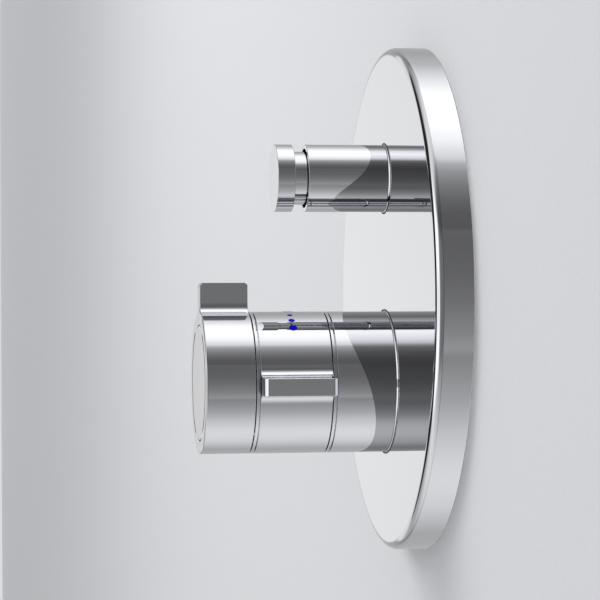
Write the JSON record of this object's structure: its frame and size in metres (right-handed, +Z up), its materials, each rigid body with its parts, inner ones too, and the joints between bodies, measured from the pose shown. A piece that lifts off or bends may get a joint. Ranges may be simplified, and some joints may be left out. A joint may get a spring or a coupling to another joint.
{
  "type": "thermostatic shower valve",
  "caption": "Wall-built-in thermostatic shower valve: round chrome cover plate, coaxial flow and temperature control with finger tabs, push diverter knob and brass body.",
  "frame": {"origin": "centre of the round cover plate, on the plane of the finished wall", "axes": "+X to the user's right, +Y into the wall along both control axes, +Z up"},
  "size_m": [0.17, 0.167, 0.17],
  "materials": {
    "chrome_plate": "polished",
    "brass": "as cast and machined",
    "black_rubber": "smooth",
    "foam": "matte closed cells",
    "steel": "satin",
    "white_ceramic": "lapped",
    "dark_plastic": "moulded",
    "copper": "satin"
  },
  "bodies": {
    "fixed": {"escutcheon": "chrome_plate", "escutcheon_seal": "foam", "main_base_ring": "chrome_plate", "diverter_base_ring": "chrome_plate", "rear_sleeve": "chrome_plate", "rear_spacer": "chrome_plate", "carrier_tube": "brass", "carrier_seals": "black_rubber", "bonnet": "brass", "bonnet_seal": "black_rubber", "fixed_disc": "white_ceramic", "disc_seal": "black_rubber", "cartridge_housing": "dark_plastic", "cartridge_seals": "black_rubber", "return_spring": "steel", "valve_body": "brass", "mounting_bracket": "steel", "bracket_screws": "steel", "hot_check_cage": "dark_plastic", "cold_check_cage": "dark_plastic", "hot_check_spring": "steel", "cold_check_spring": "steel", "hot_strainer": "steel", "cold_strainer": "steel", "diverter_sleeve": "chrome_plate", "diverter_bonnet": "brass", "diverter_neck_seals": "black_rubber", "diverter_cage": "dark_plastic", "diverter_cage_seals": "black_rubber", "diverter_seat": "brass"},
    "flow": {"flow_ring": "chrome_plate", "front_spacer": "chrome_plate", "stop_ring": "dark_plastic", "flow_set_screw": "steel", "flow_tube": "brass", "flow_tube_seals": "black_rubber", "rotating_disc": "white_ceramic"},
    "temperature": {"temperature_ring": "chrome_plate", "front_cap": "chrome_plate", "handle_screw": "steel", "temperature_spindle": "brass", "spindle_clip": "steel", "spindle_seals": "black_rubber"},
    "nut": {"temperature_nut": "brass", "overload_spring": "steel", "overload_plunger": "brass", "nut_clip": "steel"},
    "thermostat": {"wax_element": "copper", "mixing_shuttle": "dark_plastic", "shuttle_seal": "black_rubber"},
    "diverter": {"diverter_knob": "chrome_plate", "diverter_stem": "steel", "stem_seal": "black_rubber", "diverter_spool": "brass", "spool_seals": "black_rubber", "spool_nut": "steel"},
    "hot_poppet": {"hot_check_poppet": "white_ceramic"},
    "cold_poppet": {"cold_check_poppet": "white_ceramic"}
  },
  "joints": [
    {"name": "flow_turn", "type": "hinge", "parent": "fixed", "child": "flow", "pos_m": [0, -0.0337, -0.0282], "axis": [0, 1, 0], "range_deg": [-90, 0]},
    {"name": "temperature_turn", "type": "hinge", "parent": "flow", "child": "temperature", "pos_m": [0, -0.0593, -0.0282], "axis": [0, 1, 0], "range_deg": [-48, 48]},
    {"name": "nut_travel", "type": "slide", "parent": "flow", "child": "nut", "axis": [0, 1, 0], "range_m": [-0.0008, 0.0008]},
    {"name": "shuttle_travel", "type": "slide", "parent": "fixed", "child": "thermostat", "axis": [0, 1, 0], "range_m": [-0.0008, 0.0008], "deforming": ["return_spring"]},
    {"name": "diverter_push", "type": "slide", "parent": "fixed", "child": "diverter", "axis": [0, 1, 0], "range_m": [0, 0.004]},
    {"name": "hot_check_opening", "type": "slide", "parent": "fixed", "child": "hot_poppet", "axis": [1, 0, 0], "range_m": [0, 0.0035], "stiffness_N_per_m": 100, "springref_m": -0.003, "deforming": ["hot_check_spring"]},
    {"name": "cold_check_opening", "type": "slide", "parent": "fixed", "child": "cold_poppet", "axis": [-1, 0, 0], "range_m": [0, 0.0035], "stiffness_N_per_m": 100, "springref_m": -0.003, "deforming": ["cold_check_spring"]}
  ],
  "couplings": [
    {"joint": "nut_travel", "follows": "temperature_turn", "m_per_rad": 0.00095},
    {"joint": "shuttle_travel", "follows": "temperature_turn", "m_per_rad": 0.00095}
  ]
}
